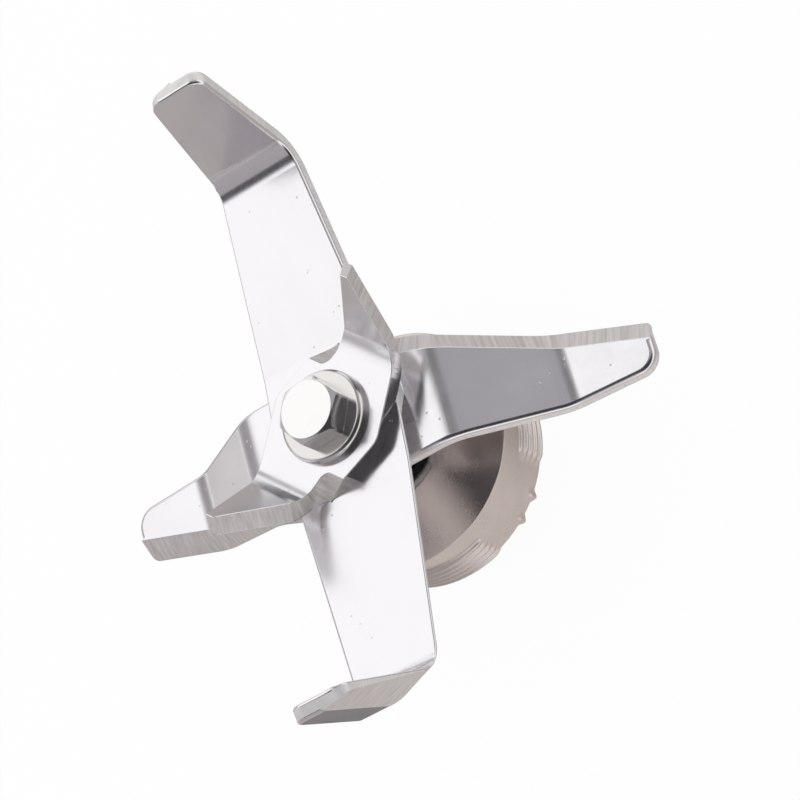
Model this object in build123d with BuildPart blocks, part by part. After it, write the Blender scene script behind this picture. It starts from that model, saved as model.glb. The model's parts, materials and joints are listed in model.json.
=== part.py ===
"""Blade assembly of a kitchen blender: three bent blades on a spindle that runs in a threaded bearing housing.

Millimetres.  +Z points up along the shaft, from the drive end to the bolt that clamps the blades.
The origin lies on the shaft axis, in the plane of the housing's bottom rim.
+X runs along the arms of the long blade, and the blades turn from +X towards +Y.
"""
from math import cos, degrees, pi, radians, sin, sqrt, tan
import os

from build123d import *

os.makedirs("parts", exist_ok=True)

# Clearances
FIT_GAP = 0.02          # between pieces pressed or slid together on one body
BALL_GAP = 0.05         # between a ball and its race
LIP_GAP = 0.10          # between the seal lip and the turning collar

# Housing
RIM_HEIGHT = 11.5       # bottom rim to the edge of the cone
BAND_RADIUS = 20.08     # smooth band, also the root of the thread
BAND_HEIGHT = 4.3       # smooth band between cone and thread
CONE_ANGLE = 25.0       # slope of the conical top
EDGE_ROUND = 0.4        # round on the edge of the cone
THREAD_DEPTH = 0.92     # height of the fixing thread above its root
THREAD_PITCH = 1.5
THREAD_CREST = 0.35     # flat on top of each thread ridge
THREAD_TURNS = 4
GAP_ANGLE = 40.0        # stretch without thread, one on each side
GAP_DIRECTION = 43.0    # middle of the first stretch, from +X
LUG_SPACING = 12.0      # degrees between the two lugs in each gap
LUG_WIDTH = 2.2
LUG_HEIGHT = 1.5
HUB_RADIUS = 13.5
HUB_LENGTH = 6.6        # hub below the rim
HUB_CHAMFER = 0.6

# Bearings and their bores
SHAFT_RADIUS = 5.0
BEARING_RADIUS = 11.0
BEARING_WIDTH = 6.0
BEARING_TOP = 10.0      # height of the shoulder that the upper bearing meets
BALL_RADIUS = 1.5875
BALL_COUNT = 9
INNER_RING_WALL = 1.7
OUTER_RING_WALL = 1.7
RING_CHAMFER = 0.3
SLEEVE_LENGTH = 2.0
SLEEVE_WALL = 1.6
CAGE_WALL = 1.2
CAGE_HEIGHT = 4.2
POCKET_GAP = 0.1
SHIELD_THICKNESS = 0.25
SHIELD_INSET = 0.25
SHIELD_GAP = 0.25
SHOULDER_THICKNESS = 1.2
SHOULDER_RADIUS = 8.3
CLIP_THICKNESS = 1.0
CLIP_DEPTH = 0.5        # how far the circlip enters its groove
CLIP_BAND = 2.2
CLIP_OPENING = 40.0     # degrees between the circlip's ends
CLIP_EYE_RADIUS = 0.8
CLIP_EYE_OFFSET = 8.0   # degrees from each end to the middle of its eye

# Shaft seal
SEAL_RADIUS = 10.0
SEAL_WALL = 0.6
SEAL_LIP_WALL = 0.7
SPRING_RADIUS = 0.5

# Collar and spindle
COLLAR_RADIUS = 6.0
COLLAR_HEAD_RADIUS = 8.0
COLLAR_HEAD_RISE = 1.3  # gap between the housing and the collar's wide head
FLAT_OFFSET = 4.0       # shaft axis to each flat of the tang
TANG_SHORTFALL = 0.5    # the tang ends this far below the top of the blades
SPINDLE_SHOULDER_RADIUS = 6.5
SPINDLE_SHOULDER_LENGTH = 3.5
SPLINE_RADIUS = 5.6
SPLINE_ROOT = 4.8
SPLINE_TEETH = 12
SPLINE_LENGTH = 7.5
SPLINE_FLANK = 75.0     # slope of the tooth sides
NOSE_RADIUS = 4.2
NOSE_LENGTH = 1.5

# Blades
BLADE_THICKNESS = 2.7
STACK_BASE = 25.3       # underside of the lowest blade
BOLT_RADIUS = 3.0
BOLT_LENGTH = 20.0
BOLT_HEAD_FLATS = 10.0
BOLT_HEAD_HEIGHT = 4.0
BOLT_FACE_RADIUS = 4.75 # flat top of the head
BOLT_CHAMFER_ANGLE = 30.0
BOLT_HEAD_TURN = 33.0   # direction of one hexagon corner, from +X
WASHER_RADIUS = 7.8
WASHER_THICKNESS = 1.6
WASHER_ROUND = 0.8
WASHER_BORE_GAP = 0.2

LONG_HUB_HALF = 11.95   # half width at the axis
LONG_BEND_HALF = 7.3    # half width where the tip bends up
LONG_RISE_START = 12.5  # the arms start to rise here
LONG_RISE_ANGLE = 5.5
LONG_RISE_RADIUS = 20.0
LONG_BEND = 48.6        # corner of the upturned tip, before rounding
LONG_BEND_RADIUS = 6.3
LONG_TIP_ANGLE = 77.0
LONG_TIP_LENGTH = 24.2
LONG_TIP_LEADING = 3.3
LONG_TIP_TRAILING = 6.8
LONG_TIP_ROUND = 2.4
LONG_BEVEL_WIDTH = 4.6
LONG_BEVEL_DEPTH = 2.2
LONG_FACET_SETBACK = 1.0  # inner line of the bevel on the tip, behind the middle line
LONG_FACET_ANGLE = 16.0

CROSS_DIRECTION = 90.0  # direction of one arm, from +X
CROSS_SIDE = 11.0       # straight trailing edge, from the axis
CROSS_REACH = 50.2
CROSS_TAPER_START = 12.0
CROSS_TIP_SETBACK = 2.4 # leading corner of the tip, behind the middle line
CROSS_TIP_ROUND = 3.5
CROSS_DROP_START = 17.5
CROSS_DROP_ANGLE = 32.0
CROSS_DROP_END = 34.0
CROSS_TIP_ANGLE = 5.0
CROSS_BEND_RADIUS = 10.0
CROSS_BEVEL_WIDTH = 3.4
CROSS_BEVEL_DEPTH = 2.4

TOP_DIRECTION = 133.4   # direction of one wing, from +X
TOP_SIDE = 11.1         # side corner of the plate, from the axis
TOP_BEND = 13.9
TOP_WING_ANGLE = 59.5
TOP_WING_LENGTH = 16.8
TOP_BEND_RADIUS = 6.6
TOP_CORNER = 12.2       # where the plate's trailing side turns into the wing's, from the axis
TOP_TRAILING = 8.0
TOP_LEADING_CORNER = 7.0
TOP_LEADING = 8.5
TOP_ROOT = 13.4         # underside of the wing's root on the leading side, from the axis
TOP_ROOT_SIDE = 5.0
TOP_TIP_TRAILING = 2.0
TOP_TIP_ROUND = 0.5
TOP_SCOOP_START = 2.05  # scoop's end wall, before the bend, measured along the wing
TOP_SCOOP_SIDE = 3.75   # scoop's floor, from the middle line
TOP_SCOOP_ROUND = 1.5
TOP_SHOULDER = 4.8      # where the wing's leading edge starts to run in, from the bend
TOP_SHOULDER_ROUND = 6.0
TOP_TIP_SETBACK = 0.3   # leading corner of the wing tip, behind the middle line
TOP_BEVEL_WIDTH = 1.5
TOP_BEVEL_START = 4.0   # where the bevel has its full width, from the bend
TOP_BEVEL_RUNOUT = 3.0

# Sizes that follow from the ones above
THREAD_RADIUS = BAND_RADIUS + THREAD_DEPTH
CROSS_TOP = STACK_BASE + BLADE_THICKNESS
LONG_TOP = CROSS_TOP + BLADE_THICKNESS
TOP_TOP = LONG_TOP + BLADE_THICKNESS
HEAD_BASE = TOP_TOP + WASHER_THICKNESS
HEAD_TOP = HEAD_BASE + BOLT_HEAD_HEIGHT
SEAL_BASE = BEARING_TOP + SHOULDER_THICKNESS
SEAL_TOP = RIM_HEIGHT + (BAND_RADIUS - SEAL_RADIUS) * tan(radians(CONE_ANGLE))
UPPER_BEARING_BASE = BEARING_TOP - BEARING_WIDTH
LOWER_BEARING_TOP = UPPER_BEARING_BASE - SLEEVE_LENGTH
LOWER_BEARING_BASE = LOWER_BEARING_TOP - BEARING_WIDTH
PITCH_RADIUS = (SHAFT_RADIUS + BEARING_RADIUS) / 2
INNER_RING_RADIUS = SHAFT_RADIUS + INNER_RING_WALL
OUTER_RING_BORE = BEARING_RADIUS - OUTER_RING_WALL
SPINDLE_STEP = LOWER_BEARING_BASE - SPINDLE_SHOULDER_LENGTH


def save(builder, node):
    """Label one finished piece and write it to its own file."""
    builder.part.label = node
    export_step(builder.part, f"parts/{node}.step")


def side_plane(direction, height):
    """Upright plane through the shaft axis: x along the direction, y up."""
    turn = radians(direction)
    return Plane(
        origin=(0, 0, height),
        x_dir=(cos(turn), sin(turn), 0),
        z_dir=(sin(turn), -cos(turn), 0),
    )


def plan_plane(direction, height):
    """Level plane at a height: x along the direction, y to its left, which leads as the blades turn."""
    turn = radians(direction)
    return Plane(origin=(0, 0, height), x_dir=(cos(turn), sin(turn), 0), z_dir=(0, 0, 1))


def tang_hole(height):
    """Cut the hole with two flats through a blade whose underside is at the height."""
    with BuildSketch(Plane.XY.offset(height - BLADE_THICKNESS)) as hole:
        Circle(SHAFT_RADIUS)
        Rectangle(2 * SHAFT_RADIUS, 2 * FLAT_OFFSET, mode=Mode.INTERSECT)
    extrude(hole.sketch, amount=3 * BLADE_THICKNESS, mode=Mode.SUBTRACT)


def strip_line(half_points, radii):
    """Middle line of a bent strip, the same on both sides of the axis."""
    mirrored = [(-x, y) for x, y in reversed(half_points)]
    FilletPolyline(*mirrored, *half_points, radius=[*reversed(radii), *radii])


def corner(sketch, x, y):
    """Corner of a sketch that lies nearest to a point."""
    return min(sketch.vertices(), key=lambda v: (v.X - x) ** 2 + (v.Y - y) ** 2)


def corners(sketch, points):
    """Corners of a plan that lie nearest to the points and to their mates half a turn on."""
    return [corner(sketch, x, y) for x, y in points + [(-x, -y) for x, y in points]]


def wing_plane(direction, offset):
    """Plane along one wing of the top blade: x up the wing from the bend, y to the leading side."""
    turn = radians(direction)
    lean = radians(TOP_WING_ANGLE)
    along_wing = Plane(
        origin=(TOP_BEND * cos(turn), TOP_BEND * sin(turn), TOP_TOP - BLADE_THICKNESS / 2),
        x_dir=(cos(lean) * cos(turn), cos(lean) * sin(turn), sin(lean)),
        z_dir=(-sin(lean) * cos(turn), -sin(lean) * sin(turn), cos(lean)),
    )
    return along_wing.offset(offset)


def leading_edge(builder, direction, height, point):
    """Long edge of a blade that passes nearest to a point given in the blade's own plan."""
    place = plan_plane(direction, height).from_local_coords(Vector(*point, 0))
    return min(builder.edges(), key=lambda edge: edge.distance_to(place))


def ring(plane, outer, inner, thickness):
    """Flat ring on a plane."""
    with BuildSketch(plane) as section:
        Circle(outer)
        Circle(inner, mode=Mode.SUBTRACT)
    extrude(section.sketch, amount=thickness)


# Housing: turned body with a conical top, a threaded rim and a hub for the two bearings
thread_top = RIM_HEIGHT - BAND_HEIGHT
with BuildPart() as housing:
    with BuildSketch(Plane.XZ):
        with BuildLine():
            Polyline(
                (BEARING_RADIUS, -HUB_LENGTH),
                (HUB_RADIUS - HUB_CHAMFER, -HUB_LENGTH),
                (HUB_RADIUS, HUB_CHAMFER - HUB_LENGTH),
                (HUB_RADIUS, 0),
                (BAND_RADIUS, 0),
                (BAND_RADIUS, RIM_HEIGHT),
                (SEAL_RADIUS, SEAL_TOP),
                (SEAL_RADIUS, SEAL_BASE),
                (SHOULDER_RADIUS, SEAL_BASE),
                (SHOULDER_RADIUS, BEARING_TOP),
                (BEARING_RADIUS, BEARING_TOP),
                close=True,
            )
        make_face()
    revolve(axis=Axis.Z)
    cone_edge = housing.edges().filter_by(GeomType.CIRCLE).sort_by(SortBy.RADIUS)[-2:].sort_by(Axis.Z)[-1]
    fillet(cone_edge, EDGE_ROUND)
    # Groove for the circlip
    with BuildSketch(Plane.XY.offset(LOWER_BEARING_BASE)):
        Circle(BEARING_RADIUS + CLIP_DEPTH)
        Circle(BEARING_RADIUS - FIT_GAP, mode=Mode.SUBTRACT)
    extrude(amount=-CLIP_THICKNESS - FIT_GAP, mode=Mode.SUBTRACT)
    # Thread ridges and the lugs in the two gaps
    ridge_base = THREAD_PITCH - THREAD_CREST
    for side in (0, 180):
        start = GAP_DIRECTION + GAP_ANGLE / 2 + side
        section = side_plane(start, 0)
        for count in range(THREAD_TURNS):
            middle = thread_top - THREAD_PITCH * (count + 0.5)
            with BuildSketch(section):
                with BuildLine():
                    Polyline(
                        (BAND_RADIUS - EDGE_ROUND, middle - ridge_base / 2),
                        (BAND_RADIUS, middle - ridge_base / 2),
                        (THREAD_RADIUS, middle - THREAD_CREST / 2),
                        (THREAD_RADIUS, middle + THREAD_CREST / 2),
                        (BAND_RADIUS, middle + ridge_base / 2),
                        (BAND_RADIUS - EDGE_ROUND, middle + ridge_base / 2),
                        close=True,
                    )
                make_face()
            revolve(axis=Axis.Z, revolution_arc=180 - GAP_ANGLE)
        for place in (-LUG_SPACING / 2, LUG_SPACING / 2):
            with BuildSketch(plan_plane(GAP_DIRECTION + side + place, 0)):
                with Locations((THREAD_RADIUS - LUG_WIDTH / 2, 0)):
                    RectangleRounded(LUG_WIDTH, LUG_WIDTH, LUG_WIDTH / 4)
            extrude(amount=LUG_HEIGHT)
save(housing, "housing")


# Shaft seal: a pressed case, the rubber lip it holds, and the spring round the lip
lip_bore = COLLAR_RADIUS + LIP_GAP
lip_outer = SEAL_RADIUS - FIT_GAP - SEAL_WALL
with BuildPart() as seal_case:
    with BuildSketch(Plane.XZ):
        with BuildLine():
            Polyline(
                (SEAL_RADIUS - FIT_GAP, SEAL_BASE),
                (SEAL_RADIUS - FIT_GAP, SEAL_TOP - EDGE_ROUND),
                (SHOULDER_RADIUS, SEAL_TOP - EDGE_ROUND),
                (SHOULDER_RADIUS, SEAL_TOP - EDGE_ROUND - SEAL_WALL),
                (lip_outer, SEAL_TOP - EDGE_ROUND - SEAL_WALL),
                (lip_outer, SEAL_BASE),
                close=True,
            )
        make_face()
    revolve(axis=Axis.Z)
save(seal_case, "seal_case")

lip_top = SEAL_TOP - EDGE_ROUND - SEAL_WALL
lip_tip = SEAL_BASE + SEAL_LIP_WALL
spring_height = lip_tip + SPRING_RADIUS + SEAL_LIP_WALL / 2
spring_pitch = lip_bore + SEAL_LIP_WALL + SPRING_RADIUS
with BuildPart() as seal_lip:
    with BuildSketch(Plane.XZ):
        with BuildLine():
            Polyline(
                (lip_outer, lip_top),
                (lip_bore + SEAL_LIP_WALL, lip_top),
                (lip_bore, spring_height),
                (lip_bore + SEAL_LIP_WALL / 2, lip_tip),
                (spring_pitch, lip_tip),
                (spring_pitch, lip_top - SEAL_LIP_WALL),
                (lip_outer, lip_top - SEAL_LIP_WALL),
                close=True,
            )
        make_face()
    revolve(axis=Axis.Z)
    with BuildSketch(Plane.XZ):
        with Locations((spring_pitch, spring_height)):
            Circle(SPRING_RADIUS)
    revolve(axis=Axis.Z, mode=Mode.SUBTRACT)
save(seal_lip, "seal_lip")

with BuildPart() as seal_spring:
    with BuildSketch(Plane.XZ):
        with Locations((spring_pitch, spring_height)):
            Circle(SPRING_RADIUS - FIT_GAP)
    revolve(axis=Axis.Z)
save(seal_spring, "seal_spring")


# Two ball bearings, one above the other: rings, balls, cage and two shields each
def race(middle):
    """Cut the ball race into a ring whose middle is at the height."""
    with BuildSketch(Plane.XZ) as groove:
        with Locations((PITCH_RADIUS, middle)):
            Circle(BALL_RADIUS + BALL_GAP)
    revolve(groove.sketch, axis=Axis.Z, mode=Mode.SUBTRACT)


def bearing_ring(outer, inner, base):
    """One ring of a bearing, with its rims chamfered and the race cut."""
    with BuildPart() as bearing_part:
        ring(Plane.XY.offset(base), outer, inner, BEARING_WIDTH)
        rims = bearing_part.edges().filter_by(GeomType.CIRCLE)
        chamfer(rims, RING_CHAMFER)
        race(base + BEARING_WIDTH / 2)
    return bearing_part


def ball_set(middle):
    """The balls of one bearing, evenly round the pitch circle."""
    with BuildPart() as balls:
        with Locations((0, 0, middle)):
            with PolarLocations(PITCH_RADIUS, BALL_COUNT):
                Sphere(BALL_RADIUS)
    return balls


def ball_cage(middle):
    """The ring that keeps the balls apart."""
    with BuildPart() as cage:
        ring(
            Plane.XY.offset(middle - CAGE_HEIGHT / 2),
            PITCH_RADIUS + CAGE_WALL / 2,
            PITCH_RADIUS - CAGE_WALL / 2,
            CAGE_HEIGHT,
        )
        with Locations((0, 0, middle)):
            with PolarLocations(PITCH_RADIUS, BALL_COUNT):
                Cylinder(BALL_RADIUS + POCKET_GAP, 3 * CAGE_WALL, rotation=(0, 90, 0), mode=Mode.SUBTRACT)
    return cage


def shield(base):
    """The thin plate that closes one side of a bearing."""
    with BuildPart() as plate:
        ring(
            Plane.XY.offset(base),
            OUTER_RING_BORE - FIT_GAP,
            INNER_RING_RADIUS + SHIELD_GAP,
            SHIELD_THICKNESS,
        )
    return plate


for name, base in (("upper", UPPER_BEARING_BASE), ("lower", LOWER_BEARING_BASE)):
    bearing_middle = base + BEARING_WIDTH / 2
    save(bearing_ring(BEARING_RADIUS - FIT_GAP, OUTER_RING_BORE, base), f"{name}_outer_ring")
    save(bearing_ring(INNER_RING_RADIUS, SHAFT_RADIUS, base), f"{name}_inner_ring")
    save(ball_set(bearing_middle), f"{name}_balls")
    save(ball_cage(bearing_middle), f"{name}_cage")
    save(shield(base + SHIELD_INSET), f"{name}_bottom_shield")
    save(shield(base + BEARING_WIDTH - SHIELD_INSET - SHIELD_THICKNESS), f"{name}_top_shield")

with BuildPart() as bearing_sleeve:
    ring(Plane.XY.offset(LOWER_BEARING_TOP), SHAFT_RADIUS + SLEEVE_WALL, SHAFT_RADIUS, SLEEVE_LENGTH)
save(bearing_sleeve, "bearing_sleeve")

# Circlip: an open ring with an eye at each end, sprung into the groove below the lower bearing
clip_outer = BEARING_RADIUS + CLIP_DEPTH - FIT_GAP
clip_inner = BEARING_RADIUS - CLIP_BAND
with BuildPart() as circlip:
    with BuildSketch(Plane.XY.offset(LOWER_BEARING_BASE)):
        Circle(clip_outer)
        Circle(clip_inner, mode=Mode.SUBTRACT)
        with BuildLine():
            reach = clip_outer / cos(radians(CLIP_OPENING / 2))
            half_gap = radians(CLIP_OPENING / 2)
            Polyline(
                (0, 0),
                (reach * cos(half_gap), -reach * sin(half_gap)),
                (reach * cos(half_gap), reach * sin(half_gap)),
                close=True,
            )
        make_face(mode=Mode.SUBTRACT)
        eye_angle = degrees(half_gap) + CLIP_EYE_OFFSET
        for angle in (eye_angle, -eye_angle):
            with PolarLocations((clip_outer + clip_inner) / 2 - CLIP_EYE_RADIUS / 2, 1, start_angle=angle):
                Circle(CLIP_EYE_RADIUS + CLIP_DEPTH)
                Circle(CLIP_EYE_RADIUS, mode=Mode.SUBTRACT)
    extrude(amount=-CLIP_THICKNESS)
save(circlip, "circlip")


# Spindle: tang with two flats and a tapped hole on top, bearing journal, shoulder and splined drive end
tang_top = TOP_TOP - TANG_SHORTFALL
hole_depth = tang_top - (HEAD_BASE - BOLT_LENGTH) + BOLT_RADIUS
with BuildPart() as spindle:
    with BuildSketch(Plane.XY.offset(SPINDLE_STEP - SPLINE_LENGTH)):
        Circle(SPLINE_ROOT)
        tooth = pi * SPLINE_RADIUS / SPLINE_TEETH
        with PolarLocations((SPLINE_ROOT + SPLINE_RADIUS) / 2, SPLINE_TEETH):
            Trapezoid(tooth, SPLINE_RADIUS - SPLINE_ROOT + tooth / 4, SPLINE_FLANK, rotation=-90)
    extrude(amount=SPLINE_LENGTH)
    with BuildSketch(Plane.XY.offset(SPINDLE_STEP - SPLINE_LENGTH)):
        Circle(NOSE_RADIUS)
    extrude(amount=-NOSE_LENGTH)
    with BuildSketch(Plane.XY.offset(SPINDLE_STEP)):
        Circle(SPINDLE_SHOULDER_RADIUS)
    extrude(amount=SPINDLE_SHOULDER_LENGTH)
    with BuildSketch(Plane.XY.offset(LOWER_BEARING_BASE)):
        Circle(SHAFT_RADIUS - FIT_GAP)
    extrude(amount=STACK_BASE - LOWER_BEARING_BASE)
    with BuildSketch(Plane.XY.offset(STACK_BASE)):
        Circle(SHAFT_RADIUS - FIT_GAP)
        Rectangle(2 * SHAFT_RADIUS, 2 * (FLAT_OFFSET - FIT_GAP), mode=Mode.INTERSECT)
    extrude(amount=tang_top - STACK_BASE)
    nose_rim = spindle.edges().filter_by(GeomType.CIRCLE).sort_by(Axis.Z)[0]
    chamfer(nose_rim, HUB_CHAMFER)
    with Locations((0, 0, tang_top)):
        Hole(BOLT_RADIUS, hole_depth)
save(spindle, "spindle")

# Collar on the spindle: the seal runs on its neck and the blades sit on its head
collar_step = SEAL_TOP + COLLAR_HEAD_RISE
with BuildPart() as spacer_collar:
    ring(Plane.XY.offset(BEARING_TOP), COLLAR_RADIUS, SHAFT_RADIUS, STACK_BASE - BEARING_TOP)
    ring(Plane.XY.offset(collar_step), COLLAR_HEAD_RADIUS, SHAFT_RADIUS, STACK_BASE - collar_step)
    head_rim = spacer_collar.faces().sort_by(Axis.Z)[-1].edges().sort_by(SortBy.RADIUS)[-1]
    chamfer(head_rim, RING_CHAMFER)
save(spacer_collar, "spacer_collar")


# Cross blade: two arms that drop and level out, with a ground bevel along each leading edge
drop = tan(radians(CROSS_DROP_ANGLE)) * (CROSS_DROP_END - CROSS_DROP_START)
tip_drop = drop + tan(radians(CROSS_TIP_ANGLE)) * (CROSS_REACH + BLADE_THICKNESS - CROSS_DROP_END)
with BuildPart() as cross_blade:
    with BuildSketch(side_plane(CROSS_DIRECTION, CROSS_TOP - BLADE_THICKNESS / 2)):
        with BuildLine() as cross_line:
            strip_line(
                [
                    (CROSS_DROP_START, 0),
                    (CROSS_DROP_END, -drop),
                    (CROSS_REACH + BLADE_THICKNESS, -tip_drop),
                ],
                [CROSS_BEND_RADIUS, CROSS_BEND_RADIUS],
            )
        trace(cross_line.line, BLADE_THICKNESS)
    extrude(amount=2 * CROSS_SIDE, both=True)
    with BuildSketch(plan_plane(CROSS_DIRECTION, 0)) as cross_plan:
        with BuildLine():
            Polyline(
                (CROSS_REACH, -CROSS_SIDE),
                (CROSS_REACH, -CROSS_TIP_SETBACK),
                (CROSS_TAPER_START, CROSS_SIDE),
                (-CROSS_REACH, CROSS_SIDE),
                (-CROSS_REACH, CROSS_TIP_SETBACK),
                (-CROSS_TAPER_START, -CROSS_SIDE),
                close=True,
            )
        make_face()
        fillet(corners(cross_plan, [(CROSS_REACH, -CROSS_SIDE)]), CROSS_TIP_ROUND)
    extrude(amount=2 * CROSS_TOP, mode=Mode.INTERSECT)
    seat_point = ((CROSS_TAPER_START + CROSS_DROP_START) / 2, CROSS_SIDE)
    for side in (0, 180):
        seat = leading_edge(cross_blade, CROSS_DIRECTION + side, CROSS_TOP, seat_point)
        hub_face = cross_blade.faces().filter_by(Axis.Z).sort_by(Axis.Z)[-1]
        chamfer(seat, CROSS_BEVEL_WIDTH, CROSS_BEVEL_DEPTH, reference=hub_face)
    tang_hole(STACK_BASE)
save(cross_blade, "cross_blade")


# Long blade: two tapered arms that rise a little and end in upturned tips, ground from below on the leading side
rise = tan(radians(LONG_RISE_ANGLE)) * (LONG_BEND - LONG_RISE_START)
tip_turn = radians(LONG_TIP_ANGLE)
tip_run = LONG_TIP_LENGTH * cos(tip_turn)
tip_rise = LONG_TIP_LENGTH * sin(tip_turn)
bend_tangent = LONG_BEND_RADIUS * tan(radians(LONG_TIP_ANGLE - LONG_RISE_ANGLE) / 2)
long_middle = LONG_TOP - BLADE_THICKNESS / 2
tip_start = long_middle + rise + bend_tangent * sin(tip_turn)
tip_end = long_middle + rise + tip_rise + BLADE_THICKNESS / 2 * cos(tip_turn)
long_taper = (LONG_HUB_HALF - LONG_BEND_HALF) / LONG_BEND
long_reach = LONG_BEND + tip_run + 2 * BLADE_THICKNESS
long_reach_half = LONG_HUB_HALF - long_taper * long_reach
tip_start_half = LONG_HUB_HALF - long_taper * (LONG_BEND + bend_tangent * cos(tip_turn))
with BuildPart() as long_blade:
    with BuildSketch(side_plane(0, long_middle)):
        with BuildLine() as long_line:
            strip_line(
                [
                    (LONG_RISE_START, 0),
                    (LONG_BEND, rise),
                    (LONG_BEND + tip_run, rise + tip_rise),
                ],
                [LONG_RISE_RADIUS, LONG_BEND_RADIUS],
            )
        trace(long_line.line, BLADE_THICKNESS)
    extrude(amount=2 * LONG_HUB_HALF, both=True)
    with BuildSketch(plan_plane(0, 0)):
        with BuildLine():
            Polyline(
                (0, -LONG_HUB_HALF),
                (long_reach, -long_reach_half),
                (long_reach, long_reach_half),
                (0, LONG_HUB_HALF),
                (-long_reach, long_reach_half),
                (-long_reach, -long_reach_half),
                close=True,
            )
        make_face()
    extrude(amount=2 * tip_end, mode=Mode.INTERSECT)
    for side in (0, 180):
        underside = LONG_TOP - BLADE_THICKNESS
        seat = leading_edge(long_blade, side, underside, (LONG_RISE_START / 2, LONG_HUB_HALF))
        hub_face = long_blade.faces().filter_by(Axis.Z).sort_by(Axis.Z)[0]
        chamfer(seat, LONG_BEVEL_WIDTH, LONG_BEVEL_DEPTH, reference=hub_face)
    for way in (1, -1):
        # Outline of the tip, seen along the arm: what lies outside it is cut away
        with BuildSketch(Plane(origin=(way * LONG_BEND / 2, 0, 0), x_dir=(0, way, 0), z_dir=(way, 0, 0))):
            with BuildLine():
                FilletPolyline(
                    (-tip_start_half, tip_start),
                    (-LONG_TIP_TRAILING, tip_end),
                    (LONG_TIP_LEADING, tip_end),
                    (tip_start_half, tip_start),
                    radius=LONG_TIP_ROUND,
                )
                Polyline(
                    (tip_start_half, tip_start),
                    (2 * LONG_HUB_HALF, tip_start),
                    (2 * LONG_HUB_HALF, tip_end + LONG_HUB_HALF),
                    (-2 * LONG_HUB_HALF, tip_end + LONG_HUB_HALF),
                    (-2 * LONG_HUB_HALF, tip_start),
                    (-tip_start_half, tip_start),
                )
            make_face()
        extrude(amount=LONG_BEND, mode=Mode.SUBTRACT)
        # Bevel on the outer side of the tip, from a line along it to the leading edge; it runs out on the bend
        tip_way = Vector(way * cos(tip_turn), 0, sin(tip_turn))
        facet_base = Vector(way * LONG_BEND, 0, long_middle + rise) - tip_way * 2 * bend_tangent
        facet_slope = tan(radians(LONG_FACET_ANGLE))
        outer_face = -BLADE_THICKNESS / 2
        inner_reach = LONG_HUB_HALF + LONG_FACET_SETBACK
        with BuildSketch(Plane(origin=facet_base, x_dir=(0, way, 0), z_dir=tip_way)):
            with BuildLine():
                Polyline(
                    (LONG_HUB_HALF, outer_face + inner_reach * facet_slope),
                    (-LONG_HUB_HALF - 2 * LONG_FACET_SETBACK, outer_face - inner_reach * facet_slope),
                    (LONG_HUB_HALF, outer_face - inner_reach * facet_slope),
                    close=True,
                )
            make_face()
        extrude(amount=2 * LONG_TIP_LENGTH, mode=Mode.SUBTRACT)
    tang_hole(CROSS_TOP)
save(long_blade, "long_blade")


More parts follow.
